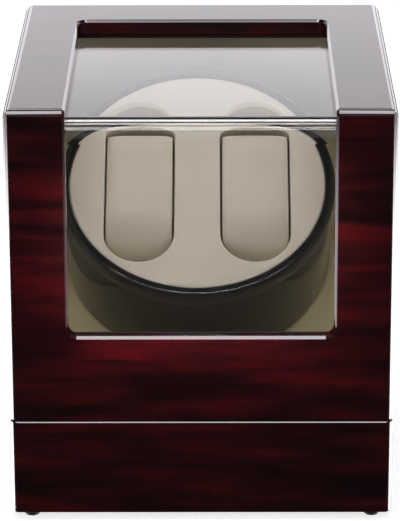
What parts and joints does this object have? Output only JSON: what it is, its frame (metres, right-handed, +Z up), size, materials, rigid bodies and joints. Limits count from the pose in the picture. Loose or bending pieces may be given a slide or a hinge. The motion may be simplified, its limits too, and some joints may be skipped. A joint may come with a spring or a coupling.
{
  "type": "watch winder box",
  "caption": "Lacquered box with a bent clear window, a hinged upper shell and a tilted motor-driven drum that holds watch cushions.",
  "frame": {"origin": "on the floor under the middle of the box", "axes": "+Z up, the window's front faces -Y, +X to the right as seen from the front"},
  "size_m": [0.17, 0.18, 0.192],
  "materials": {
    "lacquered_wood": "piano lacquer over dark striped wood",
    "black_board": "black covered fibreboard",
    "raw_board": "plain fibreboard",
    "cream_leatherette": "satin cream leatherette",
    "cream_liner": "matt cream covering",
    "cushion_leatherette": "satin cream leatherette, padded",
    "spring_band": "bent plastic strip",
    "lining": "cream covering paper",
    "clear_acrylic": "clear acrylic sheet",
    "black_strip": "thin black strip",
    "foot_rubber": "matt rubber",
    "black_gloss": "gloss black",
    "black_matte": "fine-textured black",
    "moulded_nylon": "moulded nylon",
    "gear_acetal": "white acetal",
    "brass": "turned brass",
    "bronze": "sintered bronze",
    "zinc_steel": "zinc-plated steel",
    "steel": "ground steel",
    "black_steel": "blackened steel",
    "hinge_brass": "polished brass",
    "jack_metal": "black moulding with a plated centre pin",
    "circuit_green": "solder mask",
    "wire_red": "insulated wire"
  },
  "bodies": {
    "base": {"base_frame": "lacquered_wood", "floor_board": "black_board", "floor_screws": "black_steel", "rubber_feet": "foot_rubber", "foot_screws": "black_steel", "hinge_leaves_lower": "hinge_brass", "hinge_screws_lower": "hinge_brass", "hinge_pins": "steel", "panel_facing": "cream_leatherette", "panel_board": "raw_board", "panel_screws": "black_steel", "cheek_left": "raw_board", "cheek_right": "raw_board", "rear_board": "raw_board", "gearbox_front": "moulded_nylon", "gearbox_rear": "moulded_nylon", "gearbox_screws": "steel", "shaft_bushes": "bronze", "idler_axle": "steel", "motor_can": "zinc_steel", "motor_end_cap": "black_matte", "motor_screws": "steel", "control_plate": "black_matte", "plate_screws": "black_steel", "mode_switch": "black_matte", "rocker_housing": "black_matte", "dc_jack": "jack_metal", "pcb": "circuit_green", "pcb_spacers": "moulded_nylon", "pcb_components": "black_matte", "wire_leads": "wire_red"},
    "lid": {"lid_shell": "lacquered_wood", "window_pane": "clear_acrylic", "window_beads": "black_strip", "lining_left": "lining", "lining_right": "lining", "lining_rear": "lining", "lining_front": "lining", "lining_top": "lining", "hinge_leaves_upper": "hinge_brass", "hinge_screws_upper": "hinge_brass"},
    "turntable": {"drum_shell": "black_gloss", "drum_rim": "black_gloss", "face_plate": "cream_leatherette", "slot_liner_left": "cream_liner", "slot_liner_right": "cream_liner", "hub": "brass", "hub_screw": "steel", "shaft_collar": "gear_acetal", "output_shaft": "steel", "output_gear": "gear_acetal"},
    "idler": {"compound_gear": "gear_acetal"},
    "motor_rotor": {"motor_shaft": "steel", "motor_pinion": "brass"},
    "cushion_left": {"cushion_cover_left": "cushion_leatherette", "cushion_band_left": "spring_band"},
    "cushion_right": {"cushion_cover_right": "cushion_leatherette", "cushion_band_right": "spring_band"},
    "knob": {"mode_knob": "black_matte"},
    "rocker": {"rocker_button": "black_gloss"}
  },
  "joints": [
    {"name": "lid_hinge", "type": "hinge", "parent": "base", "child": "lid", "pos_m": [0, 0.0877, 0.04815], "axis": [-1, 0, 0], "range_deg": [0, 60]},
    {"name": "turntable_spin", "type": "hinge", "parent": "base", "child": "turntable", "pos_m": [-0.002, -0.01, 0.1343], "axis": [0, -0.5807, 0.8141], "continuous": true},
    {"name": "idler_spin", "type": "hinge", "parent": "base", "child": "idler", "pos_m": [0.01878, 0.01972, 0.07197], "axis": [0, -0.5807, 0.8141], "continuous": true},
    {"name": "motor_spin", "type": "hinge", "parent": "base", "child": "motor_rotor", "pos_m": [-0.002, 0.00995, 0.065], "axis": [0, -0.5807, 0.8141], "continuous": true},
    {"name": "cushion_left_lift", "type": "slide", "parent": "turntable", "child": "cushion_left", "axis": [0, -0.5807, 0.8141], "range_m": [0, 0.02]},
    {"name": "cushion_right_lift", "type": "slide", "parent": "turntable", "child": "cushion_right", "axis": [0, -0.5807, 0.8141], "range_m": [0, 0.02]},
    {"name": "mode_turn", "type": "hinge", "parent": "base", "child": "knob", "pos_m": [-0.022, 0.0815, 0.0155], "axis": [0, 1, 0], "range_deg": [0, 270]},
    {"name": "power_rock", "type": "hinge", "parent": "base", "child": "rocker", "pos_m": [0.022, 0.0804, 0.0155], "axis": [0, 0, 1], "range_deg": [0, 16]}
  ],
  "couplings": [
    {"joint": "idler_spin", "follows": "turntable_spin", "ratio": -4},
    {"joint": "motor_spin", "follows": "turntable_spin", "ratio": 16}
  ]
}
